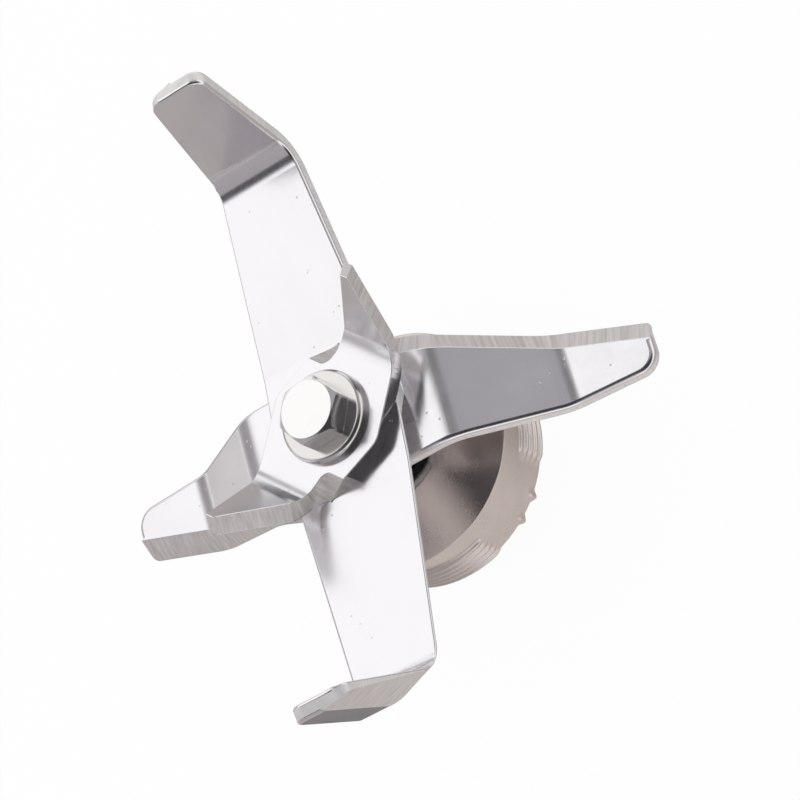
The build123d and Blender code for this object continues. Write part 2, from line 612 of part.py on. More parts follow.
# Top blade: a six-sided plate with two narrow wings bent up, and a scoop at the root of each wing
wing_turn = radians(TOP_WING_ANGLE)
wing_run = TOP_WING_LENGTH * cos(wing_turn)
wing_rise = TOP_WING_LENGTH * sin(wing_turn)
wing_end = TOP_BEND + wing_run + BLADE_THICKNESS / 2 * sin(wing_turn)
edge_slope = (TOP_SCOOP_SIDE + TOP_TIP_SETBACK) / (TOP_WING_LENGTH - TOP_SHOULDER)
bevel_shift = TOP_BEVEL_WIDTH * 1.5
bevel_tip = -TOP_TIP_SETBACK - bevel_shift
bevel_inner = bevel_tip + (TOP_WING_LENGTH - TOP_BEVEL_START) * edge_slope
with BuildPart() as top_blade:
    with BuildSketch(side_plane(TOP_DIRECTION, TOP_TOP - BLADE_THICKNESS / 2)):
        with BuildLine() as top_line:
            strip_line([(TOP_BEND, 0), (TOP_BEND + wing_run, wing_rise)], [TOP_BEND_RADIUS])
        trace(top_line.line, BLADE_THICKNESS)
    extrude(amount=2 * TOP_SIDE, both=True)
    with BuildSketch(plan_plane(TOP_DIRECTION, 0)) as top_plan:
        half_outline = [
            (0, -TOP_SIDE),
            (TOP_CORNER, -TOP_TRAILING),
            (wing_end, -TOP_TIP_TRAILING),
            (wing_end, TOP_TIP_TRAILING),
            (TOP_ROOT, TOP_ROOT_SIDE),
            (TOP_LEADING_CORNER, TOP_LEADING),
        ]
        with BuildLine():
            Polyline(*half_outline, *[(-x, -y) for x, y in half_outline], close=True)
        make_face()
        fillet(corners(top_plan, [(wing_end, -TOP_TIP_TRAILING)]), TOP_TIP_ROUND)
    extrude(amount=TOP_TOP + 2 * wing_rise, mode=Mode.INTERSECT)
    for direction in (TOP_DIRECTION, TOP_DIRECTION + 180):
        # Scoop and leading edge, cut square to the wing
        with BuildSketch(wing_plane(direction, -BLADE_THICKNESS)) as scoop:
            scoop_corner = (-TOP_SCOOP_START, TOP_SCOOP_SIDE)
            shoulder = (TOP_SHOULDER, TOP_SCOOP_SIDE)
            with BuildLine():
                Polyline(
                    (-TOP_SCOOP_START, 2 * TOP_SIDE),
                    scoop_corner,
                    shoulder,
                    (TOP_WING_LENGTH, -TOP_TIP_SETBACK),
                    (2 * TOP_WING_LENGTH, -TOP_TIP_SETBACK),
                    (2 * TOP_WING_LENGTH, 2 * TOP_SIDE),
                    close=True,
                )
            make_face()
            fillet(corner(scoop, *scoop_corner), TOP_SCOOP_ROUND)
            fillet(corner(scoop, *shoulder), TOP_SHOULDER_ROUND)
        extrude(scoop.sketch, amount=TOP_SIDE, mode=Mode.SUBTRACT)
        # Bevel on the inner side of the leading edge, which runs out on the bend
        grind = wing_plane(direction, BLADE_THICKNESS)
        bevel_rise = BLADE_THICKNESS / TOP_BEVEL_WIDTH
        with BuildSketch(grind) as bevel:
            with BuildLine():
                Polyline(
                    (TOP_BEVEL_START - TOP_BEVEL_RUNOUT, TOP_SCOOP_SIDE),
                    (TOP_BEVEL_START, bevel_inner),
                    (TOP_WING_LENGTH, bevel_tip),
                    (2 * TOP_WING_LENGTH, bevel_tip),
                    (2 * TOP_WING_LENGTH, 2 * TOP_SIDE),
                    (TOP_BEVEL_START - TOP_BEVEL_RUNOUT, 2 * TOP_SIDE),
                    close=True,
                )
            make_face()
        slant = grind.y_dir - grind.z_dir * bevel_rise
        extrude(bevel.sketch, amount=TOP_SIDE, dir=slant.normalized(), mode=Mode.SUBTRACT)
    tang_hole(LONG_TOP)
save(top_blade, "top_blade")


# Washer with a rounded upper edge, and the hexagon bolt that clamps the stack
with BuildPart() as flat_washer:
    ring(Plane.XY.offset(TOP_TOP), WASHER_RADIUS, BOLT_RADIUS + WASHER_BORE_GAP, WASHER_THICKNESS)
    rim = flat_washer.faces().sort_by(Axis.Z)[-1].edges().sort_by(SortBy.RADIUS)[-1]
    fillet(rim, WASHER_ROUND)
save(flat_washer, "flat_washer")

corner_radius = BOLT_HEAD_FLATS / sqrt(3)
chamfer_rise = (corner_radius - BOLT_FACE_RADIUS) * tan(radians(BOLT_CHAMFER_ANGLE))
with BuildPart() as hex_bolt:
    with BuildSketch(Plane.XY.offset(HEAD_BASE)):
        RegularPolygon(corner_radius, 6, rotation=BOLT_HEAD_TURN)
    extrude(amount=BOLT_HEAD_HEIGHT)
    # Cone that rounds off the corners of the head
    with BuildSketch(Plane.XZ):
        with BuildLine():
            Polyline(
                (0, HEAD_BASE),
                (corner_radius, HEAD_BASE),
                (corner_radius, HEAD_TOP - chamfer_rise),
                (BOLT_FACE_RADIUS, HEAD_TOP),
                (0, HEAD_TOP),
                close=True,
            )
        make_face()
    revolve(axis=Axis.Z, mode=Mode.INTERSECT)
    with BuildSketch(Plane.XY.offset(HEAD_BASE)):
        Circle(BOLT_RADIUS - FIT_GAP)
    extrude(amount=-BOLT_LENGTH)
    shank_end = hex_bolt.edges().filter_by(GeomType.CIRCLE).sort_by(Axis.Z)[0]
    chamfer(shank_end, HUB_CHAMFER)
save(hex_bolt, "hex_bolt")
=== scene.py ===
# %% [markdown]
# # The blade assembly of a kitchen blender
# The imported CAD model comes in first, as a fixed frame: every node already has its place and its size in metres.
# This lesson adds what the CAD model leaves out: rounded and ground edges, a true thread, and a finish for each of
# the steels.

# %% Load the frame
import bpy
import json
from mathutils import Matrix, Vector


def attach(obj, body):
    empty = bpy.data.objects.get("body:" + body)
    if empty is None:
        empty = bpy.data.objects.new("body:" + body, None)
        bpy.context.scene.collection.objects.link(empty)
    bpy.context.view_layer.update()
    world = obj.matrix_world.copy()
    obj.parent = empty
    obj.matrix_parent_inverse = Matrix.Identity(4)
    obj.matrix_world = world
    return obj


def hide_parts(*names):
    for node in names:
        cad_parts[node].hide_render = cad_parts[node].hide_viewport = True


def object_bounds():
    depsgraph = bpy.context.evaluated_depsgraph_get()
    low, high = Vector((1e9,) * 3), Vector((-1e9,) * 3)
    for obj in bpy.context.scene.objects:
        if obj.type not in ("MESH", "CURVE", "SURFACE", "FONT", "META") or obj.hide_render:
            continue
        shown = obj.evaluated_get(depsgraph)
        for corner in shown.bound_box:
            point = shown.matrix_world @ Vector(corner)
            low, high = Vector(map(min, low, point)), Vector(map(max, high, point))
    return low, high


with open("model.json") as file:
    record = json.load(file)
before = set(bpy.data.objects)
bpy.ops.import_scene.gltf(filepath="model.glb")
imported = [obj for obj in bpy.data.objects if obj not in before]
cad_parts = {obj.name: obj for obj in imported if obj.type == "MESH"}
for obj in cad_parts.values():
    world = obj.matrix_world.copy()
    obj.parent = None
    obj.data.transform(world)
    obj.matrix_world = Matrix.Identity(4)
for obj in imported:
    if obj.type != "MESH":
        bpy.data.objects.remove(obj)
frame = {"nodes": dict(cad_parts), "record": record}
cad_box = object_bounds()

# %% [markdown]
# ## Camera
# The camera looks down on the bolt from one side, with a long lens, and it is rolled about its own line of sight.
# Blender's camera looks along its local -Z, so its matrix is written from three directions: right, up and backwards.

# %% Camera at the photograph's angle
import bmesh
import bpy
import json
import math
from mathutils import Matrix, Vector

MM = 0.001
VIEW_AZIMUTH = math.radians(42.93)      # of the camera, from +X
VIEW_TILT = math.radians(36.74)         # of the line of sight, off the shaft
VIEW_ROLL = math.radians(-65.51)
VIEW_DISTANCE = 499.8 * MM
VIEW_SLIDE = (14.88 * MM, 1.46 * MM)    # sideways and up, to place the bolt in the picture
VIEW_LENS = 142.4                       # mm, on the default 36 mm sensor
BOLT_TOP = Vector((0, 0, 39 * MM))

backward = Vector((
    math.sin(VIEW_TILT) * math.cos(VIEW_AZIMUTH),
    math.sin(VIEW_TILT) * math.sin(VIEW_AZIMUTH),
    math.cos(VIEW_TILT),
))
level = Vector((-math.sin(VIEW_AZIMUTH), math.cos(VIEW_AZIMUTH), 0))
rise = backward.cross(level)
right = level * math.cos(VIEW_ROLL) + rise * math.sin(VIEW_ROLL)
up = rise * math.cos(VIEW_ROLL) - level * math.sin(VIEW_ROLL)
stand = BOLT_TOP + backward * VIEW_DISTANCE + right * VIEW_SLIDE[0] + up * VIEW_SLIDE[1]

camera = bpy.data.objects.new("camera", bpy.data.cameras.new("camera"))
bpy.context.scene.collection.objects.link(camera)
camera.data.lens = VIEW_LENS
camera.data.clip_start = 0.01
camera.matrix_world = Matrix((
    (right.x, up.x, backward.x, stand.x),
    (right.y, up.y, backward.y, stand.y),
    (right.z, up.z, backward.z, stand.z),
    (0, 0, 0, 1),
))
bpy.context.scene.camera = camera
bpy.context.scene.view_settings.view_transform = "Standard"
print("camera stands at", [round(v, 3) for v in stand])

# %% [markdown]
# ## Studio
# Polished steel has hardly any colour of its own: it shows the room. So the room is the first material.
# A white world and floor give the pale surroundings, and one large soft lamp stands on the far side.
# The floor mixes plain diffuse white with a white glow, so that it stays white and still takes a soft shadow.
# From below the paper is clear, so that the underside of the part can be looked at too.

# %% White world
WORLD_LEVEL = 0.9       # light that the world gives to matt surfaces

def add(tree, kind, **values):
    """Add a shader node and set its own values; sockets are given by name with underscores for spaces."""
    node = tree.nodes.new(kind)
    for key, value in values.items():
        if hasattr(node, key):
            setattr(node, key, value)
        else:
            node.inputs[key.replace("_", " ")].default_value = value
    return node

def seen_directly(tree):
    """Light Path as one value: 1 for camera, glossy and transmission rays."""
    path = add(tree, "ShaderNodeLightPath")
    total = path.outputs["Is Camera Ray"]
    for name in ("Is Glossy Ray", "Is Transmission Ray"):
        either = add(tree, "ShaderNodeMath", operation="MAXIMUM")
        tree.links.new(total, either.inputs[0])
        tree.links.new(path.outputs[name], either.inputs[1])
        total = either.outputs[0]
    return total

def ranged(tree, value, **values):
    """A value put through a Map Range node."""
    node = add(tree, "ShaderNodeMapRange", **values)
    tree.links.new(value, node.inputs["Value"])
    return node.outputs["Result"]

world = bpy.data.worlds.new("white_room")
world.use_nodes = True
bpy.context.scene.world = world
room = world.node_tree
background = room.nodes["Background"]
background.inputs["Color"].default_value = (1, 1, 1, 1)
strength = ranged(room, seen_directly(room), To_Min=WORLD_LEVEL, To_Max=1.0)
room.links.new(strength, background.inputs["Strength"])
print("world level for matt surfaces:", WORLD_LEVEL)

# %% Floor
FLOOR_SIZE = 3.0
FLOOR_GLOW = 0.95       # share of the glow in what the camera sees
FLOOR_GAP = 0.2 * MM    # below the lowest point of the part
PAPER_WHITE = 0.93

def sheet_object(name, width, length):
    """A flat rectangle round the origin."""
    mesh = bpy.data.meshes.new(name)
    x, y = width / 2, length / 2
    mesh.from_pydata([(-x, -y, 0), (x, -y, 0), (x, y, 0), (-x, y, 0)], [], [(0, 1, 2, 3)])
    sheet = bpy.data.objects.new(name, mesh)
    bpy.context.scene.collection.objects.link(sheet)
    return sheet

def new_material(name):
    """An empty node material with its output node."""
    material = bpy.data.materials.new(name)
    material.use_nodes = True
    material.node_tree.nodes.clear()
    return material, material.node_tree, add(material.node_tree, "ShaderNodeOutputMaterial")

def mixed(tree, share, first, second):
    """A Mix Shader node that goes from the first shader to the second with a share."""
    mix = add(tree, "ShaderNodeMixShader")
    for index, output in enumerate((share, first.outputs[0], second.outputs[0])):
        tree.links.new(output, mix.inputs[index])
    return mix

floor = sheet_object("floor", FLOOR_SIZE, FLOOR_SIZE)
floor.location.z = cad_box[0][2] - FLOOR_GAP
paper, tree, out = new_material("white_paper")
matt = add(tree, "ShaderNodeBsdfDiffuse", Color=(PAPER_WHITE, PAPER_WHITE, PAPER_WHITE, 1))
glow = add(tree, "ShaderNodeEmission", Color=(1, 1, 1, 1), Strength=1.0)
white = mixed(tree, ranged(tree, seen_directly(tree), To_Max=FLOOR_GLOW), matt, glow)
side = add(tree, "ShaderNodeNewGeometry")
one_sided = mixed(tree, side.outputs["Backfacing"], white, add(tree, "ShaderNodeBsdfTransparent"))
tree.links.new(one_sided.outputs[0], out.inputs["Surface"])
floor.data.materials.append(paper)
print("floor at z =", round(floor.location.z, 4))

# %% [markdown]
# ## Lamps and cards
# One large softbox makes the level faces shine. A photographer then sets cards round polished metal, just to be
# mirrored: without them steel looks like white plastic. Dark cards give the black edges and bends, grey and brown
# ones the quieter tones, and a few lie on the floor for the faces that look down. They all have soft rims, and only
# mirror rays see them, so they neither shade the floor nor stand in front of the camera.

# %% Softbox
def heading(azimuth, elevation):
    """Unit vector towards a direction given in degrees, from +X and above the horizon."""
    turn, lift = math.radians(azimuth), math.radians(elevation)
    return Vector((math.cos(lift) * math.cos(turn), math.cos(lift) * math.sin(turn), math.sin(lift)))

def face_object(thing, azimuth, elevation, distance):
    """Place a lamp or card in a direction from the bolt, facing it."""
    way = heading(azimuth, elevation)
    thing.location = BOLT_TOP + way * distance
    thing.rotation_euler = way.to_track_quat("Z", "Y").to_euler()

def softbox(name, azimuth, elevation, distance, size, level):
    """A square area lamp of a given surface brightness."""
    lamp = bpy.data.objects.new(name, bpy.data.lights.new(name, "AREA"))
    lamp.data.size = size
    lamp.data.energy = level * math.pi * size * size
    bpy.context.scene.collection.objects.link(lamp)
    face_object(lamp, azimuth, elevation, distance)
    print(name, "power", round(lamp.data.energy, 2), "W")

softbox("far_softbox", azimuth=222, elevation=54, distance=0.8, size=0.75, level=0.11)

# %% Cards for the reflections
def mirror_card(name, width, length, colour, rim):
    """A card that only mirror rays see; it fades out over the given share of its half size."""
    card = sheet_object(name, width, length)
    for kind in ("camera", "diffuse", "transmission", "volume_scatter", "shadow"):
        setattr(card, "visible_" + kind, False)
    material, tree, out = new_material(name)
    place = add(tree, "ShaderNodeTexCoord")
    centred = add(tree, "ShaderNodeMapping", vector_type="POINT", Location=(-1, -1, 0), Scale=(2, 2, 0))
    tree.links.new(place.outputs["Generated"], centred.inputs["Vector"])
    reach = add(tree, "ShaderNodeVectorMath", operation="LENGTH")
    tree.links.new(centred.outputs[0], reach.inputs[0])
    fade = ranged(tree, reach.outputs["Value"], interpolation_type="SMOOTHSTEP", From_Min=1.0, From_Max=1.0 - rim)
    clear = add(tree, "ShaderNodeBsdfTransparent")
    tone = add(tree, "ShaderNodeEmission", Color=(*colour, 1), Strength=1.0)
    tree.links.new(mixed(tree, fade, clear, tone).outputs[0], out.inputs["Surface"])
    card.data.materials.append(material)
    return card

# name, azimuth and elevation in degrees, distance, width and length in metres, colour, rim
STANDING_CARDS = (
    ("dark_ceiling", 48, 61, 0.60, 1.50, 1.50, (0.045, 0.042, 0.045), 0.5),
    ("dark_screen", 286, 64, 0.55, 0.50, 0.40, (0.08, 0.075, 0.085), 0.7),
    ("dark_strip", 163, 60, 0.50, 0.20, 0.30, (0.20, 0.195, 0.20), 0.7),
    ("grey_screen", 138, 52, 0.55, 0.70, 0.70, (0.385, 0.375, 0.40), 0.5),
    ("grey_strip", 180, 32, 0.55, 0.32, 0.15, (0.42, 0.385, 0.375), 0.7),
    ("front_screen", 308, 20, 0.65, 1.30, 1.20, (0.40, 0.38, 0.39), 0.4),
    ("far_shadow", 242, 16, 0.60, 0.62, 0.46, (0.32, 0.305, 0.32), 0.7),
)
for name, azimuth, elevation, distance, width, length, colour, rim in STANDING_CARDS:
    face_object(mirror_card(name, width, length, colour, rim), azimuth, elevation, distance)

# Cards lying on the floor paint the floor's tones for mirror rays only: the large brown one is painted shade on the
# floor round the part, table_light a painted pool of light, and table_shadow a painted shadow under the lower tip.
# name, x, y and height above the floor in mm, width and length in metres, colour, rim
LYING_CARDS = (
    ("mirrored_floor_shade", 150, -120, 1.0, 1.40, 1.40, (0.44, 0.405, 0.395), 0.4),
    ("table_light", 60, 14, 1.5, 0.14, 0.20, (0.68, 0.64, 0.62), 0.6),
    ("table_shadow", 50, -38, 2.0, 0.05, 0.05, (0.20, 0.19, 0.19), 0.7),
)
for name, x, y, height, width, length, colour, rim in LYING_CARDS:
    card = mirror_card(name, width, length, colour, rim)
    card.location = (x * MM, y * MM, floor.location.z + height * MM)

# %% [markdown]
# ## Shared marks on metal
# Two effects come back in several steels, so each is a node group. `Polish marks` gives the faint hairlines and waves
# that keep a polished face from looking like a perfect mirror, and small dark pits, which lie together in patches.
# `Grinding marks` gives the short parallel lines that a wheel leaves across an edge. Each group puts out a height in
# millimetres for a Bump node, a value for the roughness, and one more value that varies the tone.

# %% Helpers for node groups
def new_group(name, inputs, outputs):
    """A shader node group with named sockets: (name, kind, default)."""
    group = bpy.data.node_groups.new(name, "ShaderNodeTree")
    for label, kind, default in inputs:
        socket = group.interface.new_socket(name=label, in_out="INPUT", socket_type=kind)
        if default is not None:
            socket.default_value = default
    for label, kind in outputs:
        group.interface.new_socket(name=label, in_out="OUTPUT", socket_type=kind)
    return group, add(group, "NodeGroupInput"), add(group, "NodeGroupOutput")

def noise_at(tree, source, **values):
    """Noise looked up at a place."""
    node = add(tree, "ShaderNodeTexNoise", **values)
    tree.links.new(source, node.inputs["Vector"])
    return node.outputs["Fac"]

def stretched_noise(group, source, stretch, scale, detail):
    """Noise drawn out along one direction, the way polishing and grinding leave it."""
    mapping = add(group, "ShaderNodeMapping", Scale=stretch)
    group.links.new(source, mapping.inputs["Vector"])
    return noise_at(group, mapping.outputs[0], Scale=scale, Detail=detail, Roughness=0.6)

def value_of(group, operation, first, second):
    """A Math node; each side is a socket or a number."""
    node = add(group, "ShaderNodeMath", operation=operation)
    for index, side in enumerate((first, second)):
        if isinstance(side, (int, float)):
            node.inputs[index].default_value = side
        else:
            group.links.new(side, node.inputs[index])
    return node.outputs[0]

print("helpers: new_group, noise_at, stretched_noise, value_of")

# %% Node group: polish marks
HAIRLINE_DEPTH, WAVE_DEPTH, PIT_DEPTH = 0.004, 0.05, 0.02     # mm
PIT_ROUGHNESS = 0.3

polish_marks, given, result = new_group(
    "Polish marks",
    [("Position", "NodeSocketVector", None), ("Hairlines", "NodeSocketFloat", 1.0), ("Pits", "NodeSocketFloat", 1.0)],
    [("Height", "NodeSocketFloat"), ("Roughness", "NodeSocketFloat"), ("Haze", "NodeSocketFloat")],
)
spot = given.outputs["Position"]
hairlines = stretched_noise(polish_marks, spot, (0.10, 2.6, 1.0), 1.6, 5.0)
waves = stretched_noise(polish_marks, spot, (1.0, 1.0, 1.0), 0.055, 1.0)
haze = stretched_noise(polish_marks, spot, (0.6, 1.0, 1.0), 0.16, 4.0)
patch = stretched_noise(polish_marks, spot, (1.0, 1.0, 1.0), 0.09, 2.0)
patch = ranged(polish_marks, patch, interpolation_type="SMOOTHSTEP", From_Min=0.5, From_Max=0.62)
dots = add(polish_marks, "ShaderNodeTexVoronoi", feature="F1", Scale=0.55)
polish_marks.links.new(spot, dots.inputs["Vector"])
pit = ranged(
    polish_marks, dots.outputs["Distance"], interpolation_type="SMOOTHSTEP", From_Min=0.13, From_Max=0.04,
)
pits = value_of(polish_marks, "MULTIPLY", pit, given.outputs["Pits"])
pits = value_of(polish_marks, "MULTIPLY", pits, patch)
depth = value_of(polish_marks, "MULTIPLY", given.outputs["Hairlines"], HAIRLINE_DEPTH)
fine = value_of(polish_marks, "MULTIPLY", hairlines, depth)
broad = value_of(polish_marks, "MULTIPLY", waves, WAVE_DEPTH)
sunk = value_of(polish_marks, "MULTIPLY", pits, PIT_DEPTH)
height = value_of(polish_marks, "SUBTRACT", value_of(polish_marks, "ADD", fine, broad), sunk)
polish_marks.links.new(height, result.inputs["Height"])
rough = ranged(polish_marks, haze, From_Min=0.3, From_Max=0.7, To_Min=0.15, To_Max=0.23)
dull = value_of(polish_marks, "ADD", rough, value_of(polish_marks, "MULTIPLY", pits, PIT_ROUGHNESS))
polish_marks.links.new(dull, result.inputs["Roughness"])
polish_marks.links.new(haze, result.inputs["Haze"])
print("group:", polish_marks.name, len(polish_marks.nodes), "nodes")

# %% Node group: grinding marks
GRIND_DEPTH = 0.06      # mm

grinding_marks, given, result = new_group(
    "Grinding marks",
    [("Position", "NodeSocketVector", None), ("Depth", "NodeSocketFloat", 1.0)],
    [("Height", "NodeSocketFloat"), ("Roughness", "NodeSocketFloat"), ("Lines", "NodeSocketFloat")],
)
spot = given.outputs["Position"]
lines = stretched_noise(grinding_marks, spot, (1.0, 0.10, 1.0), 1.7, 6.0)
patches = stretched_noise(grinding_marks, spot, (1.0, 0.6, 1.0), 0.25, 3.0)
depth = value_of(grinding_marks, "MULTIPLY", given.outputs["Depth"], GRIND_DEPTH)
deep = value_of(grinding_marks, "MULTIPLY", lines, depth)
grinding_marks.links.new(deep, result.inputs["Height"])
rough = ranged(grinding_marks, patches, From_Min=0.3, From_Max=0.7, To_Min=0.42, To_Max=0.54)
grinding_marks.links.new(rough, result.inputs["Roughness"])
contrast = ranged(grinding_marks, lines, From_Min=0.32, From_Max=0.68)
grinding_marks.links.new(contrast, result.inputs["Lines"])
print("group:", grinding_marks.name, len(grinding_marks.nodes), "nodes")

# %% [markdown]
# ## Steels
# Each steel is one Principled shader. Polished and turned steel is fully metallic. The ground slopes are only partly
# so, because their torn grain scatters light from all sides and looks matt. What tells the steels apart is the colour
# of their reflection, how rough they are, and which marks they carry. The blades have a UV map in millimetres on the
# flat sheet, so marks follow each bend; the turned pieces read their place in the model, also scaled to millimetres.

# %% Helpers for materials
def mark_source(tree, flat):
    """Where marks are looked up, in millimetres: the blade's flat pattern, or the place in the model."""
    place = add(tree, "ShaderNodeTexCoord")
    if flat:
        return place.outputs["UV"]
    scaled = add(tree, "ShaderNodeMapping", Scale=(1 / MM, 1 / MM, 1 / MM))
    tree.links.new(place.outputs["Object"], scaled.inputs["Vector"])
    return scaled.outputs[0]

def use_group(tree, group, source, **values):
    """Place a node group and give it its position and values."""
    node = add(tree, "ShaderNodeGroup", node_tree=group)
    tree.links.new(source, node.inputs["Position"])
    for key, value in values.items():
        node.inputs[key].default_value = value
    return node

def tone_between(tree, factor, dark, light):
    """A colour that goes from one tone to the other with the factor."""
    blend = add(tree, "ShaderNodeMix", data_type="RGBA")
    blend.inputs["A"].default_value = (*dark, 1)
    blend.inputs["B"].default_value = (*light, 1)
    tree.links.new(factor, blend.inputs["Factor"])
    return blend.outputs["Result"]

def raised(tree, height, metal):
    """Feed a height in millimetres into the shader's normal."""
    bump = add(tree, "ShaderNodeBump", Strength=1.0, Distance=MM)
    tree.links.new(height, bump.inputs["Height"])
    tree.links.new(bump.outputs["Normal"], metal.inputs["Normal"])

print("helpers: mark_source, use_group, tone_between, raised")

# %% Steels of the blades
def polished(name, dark, light, flat=True, hairlines=1.0, pits=1.0):
    """Bright steel with faint polish marks."""
    material, tree, out = new_material(name)
    metal = add(tree, "ShaderNodeBsdfPrincipled", Metallic=1.0)
    marks = use_group(tree, polish_marks, mark_source(tree, flat), Hairlines=hairlines, Pits=pits)
    tree.links.new(tone_between(tree, marks.outputs["Haze"], dark, light), metal.inputs["Base Color"])
    tree.links.new(marks.outputs["Roughness"], metal.inputs["Roughness"])
    raised(tree, marks.outputs["Height"], metal)
    tree.links.new(metal.outputs[0], out.inputs["Surface"])
    return material

def ground(name, dark, light, depth, metal_share):
    """Steel with the lines of a grinding wheel across it."""
    material, tree, out = new_material(name)
    metal = add(tree, "ShaderNodeBsdfPrincipled", Metallic=metal_share)
    marks = use_group(tree, grinding_marks, mark_source(tree, flat=True), Depth=depth)
    tree.links.new(tone_between(tree, marks.outputs["Lines"], dark, light), metal.inputs["Base Color"])
    tree.links.new(marks.outputs["Roughness"], metal.inputs["Roughness"])
    raised(tree, marks.outputs["Height"], metal)
    tree.links.new(metal.outputs[0], out.inputs["Surface"])
    return material

blade_polish = polished("blade_polish", (0.845, 0.83, 0.85), (0.875, 0.86, 0.885))
blade_ground = ground("blade_ground", (0.54, 0.505, 0.50), (0.76, 0.725, 0.715), depth=1.0, metal_share=0.55)
blade_trim = ground("blade_trim", (0.70, 0.68, 0.675), (0.86, 0.845, 0.84), depth=0.3, metal_share=0.5)
print("materials:", blade_polish.name, blade_ground.name, blade_trim.name)

# %% [markdown]
# ## How a blade is made
# A real blade is punched from sheet, ground along its leading edges and then bent in a press, and the script does the
# same. It stacks a few outlines of the flat sheet to get the ground slopes, rounds the edges with a bevel, cuts the
# sheet across wherever it will bend, and then moves each point along the bent middle line. An extruded plate would be
# shorter to write, but it has neither the slopes nor the rolled edges, whose dark lines draw a polished blade.

# %% Lines with rounded corners
ARC_STEP = math.radians(10)
EDGE_STEP = 1.5         # mm between points along an edge

def rounded(corners, radii):
    """Closed outline through the corners, with arcs in place of those whose radius isn't zero."""
    points = []
    spots = [Vector(corner) for corner in corners]
    for index, spot in enumerate(spots):
        before = (spots[index - 1] - spot).normalized()
        after = (spots[(index + 1) % len(spots)] - spot).normalized()
        half = before.angle(after) / 2
        radius = radii[index]
        if radius == 0:
            points.append(spot)
            continue
        centre = spot + (before + after).normalized() * radius / math.sin(half)
        start = spot + before * radius / math.tan(half) - centre
        end = spot + after * radius / math.tan(half) - centre
        swing = start.angle_signed(end)
        steps = max(2, math.ceil(abs(swing) / ARC_STEP))
        for step in range(steps + 1):
            turn = Matrix.Rotation(-swing * step / steps, 2)
            points.append(centre + turn @ start)
    return points

def stepped(points):
    """The same outline with extra points, so that no side is longer than the step."""
    dense = []
    for index, point in enumerate(points):
        side = points[(index + 1) % len(points)] - point
        count = max(1, math.ceil(side.length / EDGE_STEP))
        dense += [point + side * step / count for step in range(count)]
    return dense

print("outline points are at most", EDGE_STEP, "mm apart")

# %% Middle line of a bent strip
def bent_line(points, radii):
    """Half of a strip from the shaft outwards, as runs of (length, turn)."""
    spots = [Vector((0, 0))] + [Vector(point) for point in points]
    runs = []
    used = 0.0
    for index, radius in enumerate(radii):
        inward = spots[index + 1] - spots[index]
        outward = spots[index + 2] - spots[index + 1]
        turn = math.atan2(outward.y, outward.x) - math.atan2(inward.y, inward.x)
        setback = radius * math.tan(abs(turn) / 2)
        runs.append((inward.length - used - setback, 0.0))
        runs.append((radius * abs(turn), turn))
        used = setback
    runs.append(((spots[-1] - spots[-2]).length - used, 0.0))
    return runs

def along(runs, distance):
    """Place and direction on the line at a distance from the shaft."""
    x = z = aim = 0.0
    for length, turn in runs:
        part = min(distance, length)
        swing = turn * part / length
        if turn:
            radius = length / turn
            x += radius * (math.sin(aim + swing) - math.sin(aim))
            z += radius * (math.cos(aim) - math.cos(aim + swing))
        else:
            x += part * math.cos(aim)
            z += part * math.sin(aim)
        aim += swing
        distance -= part
    return x + distance * math.cos(aim), z + distance * math.sin(aim), aim

def unrolled(runs, reach, depth=0.0, lean=0.0):
    """Distance along the line at which a point at a depth in the sheet has a reach, in a direction that leans up."""
    low, high = 0.0, sum(length for length, _ in runs)
    for _ in range(50):
        middle = (low + high) / 2
        x, z, aim = along(runs, middle)
        x -= depth * math.sin(aim)
        z += depth * math.cos(aim)
        if x * math.cos(lean) + z * math.sin(lean) < abs(reach):
            low = middle
        else:
            high = middle
    return math.copysign(low, reach)

print("check: 10 mm out on a straight line is", round(unrolled([(50.0, 0.0)], 10.0), 3))

# %% [markdown]
# ## Edges, cuts and bend
# A bevel rounds an edge only where its two faces meet at the right angle, so it is run three times: softly where a
# ground slope meets a face, with a wide roll where a face meets the full wall of the sheet, and with a narrow one
# where the wall is ground thin. Only level edges are taken, because upright ones would be pinched in the bends.
# Where a blade rests on the one below, its lower edge stays sharp, as punched.

# %% Round the edges
EDGE_SOFT = 0.1         # mm, round on the ground slopes
THIN_ROLL = 0.3         # mm, round on an edge that is ground thin
SLOPE_MEETS = (12, 62)  # degrees between a ground slope and a face
WALL_MEETS = (80, 130)  # degrees between a face and the wall of the sheet
FULL_WALL = 2.2         # mm, a wall at least this high is whole
THIN_WALL = 0.3         # mm, a lower one than this has no edge to roll

def round_edges(shape, meets, offset, segments, thin=0.0, thick=99.0, spared=(), resting=0.0):
    """Round level edges beside a wall of a given height. Edges of spared slots stay sharp, and so do those of the
    underside as far out as it rests on the blade below."""
    chosen = []
    for edge in shape.edges:
        first, second = (vert.co for vert in edge.verts)
        middle = (first + second) / 2
        level = abs(first.z - second.z) < 0.5 * edge.calc_length()
        spare = any(face.material_index in spared for face in edge.link_faces)
        rests = middle.z < 0 and abs(middle.x) < resting
        if level and not spare and not rests and meets[0] < math.degrees(edge.calc_face_angle(0.0)) <= meets[1]:
            spans = [max(v.co.z for v in f.verts) - min(v.co.z for v in f.verts) for f in edge.link_faces]
            if thin < max(spans) <= thick:
                chosen.append(edge)
    bmesh.ops.bevel(
        shape, geom=chosen, offset=offset, segments=segments, profile=0.5, affect="EDGES", clamp_overlap=False,
    )

def weld(shape, distance):
    """Join points that lie closer together than a distance."""
    bmesh.ops.remove_doubles(shape, verts=shape.verts, dist=distance)
    bmesh.ops.dissolve_degenerate(shape, edges=shape.edges, dist=distance)

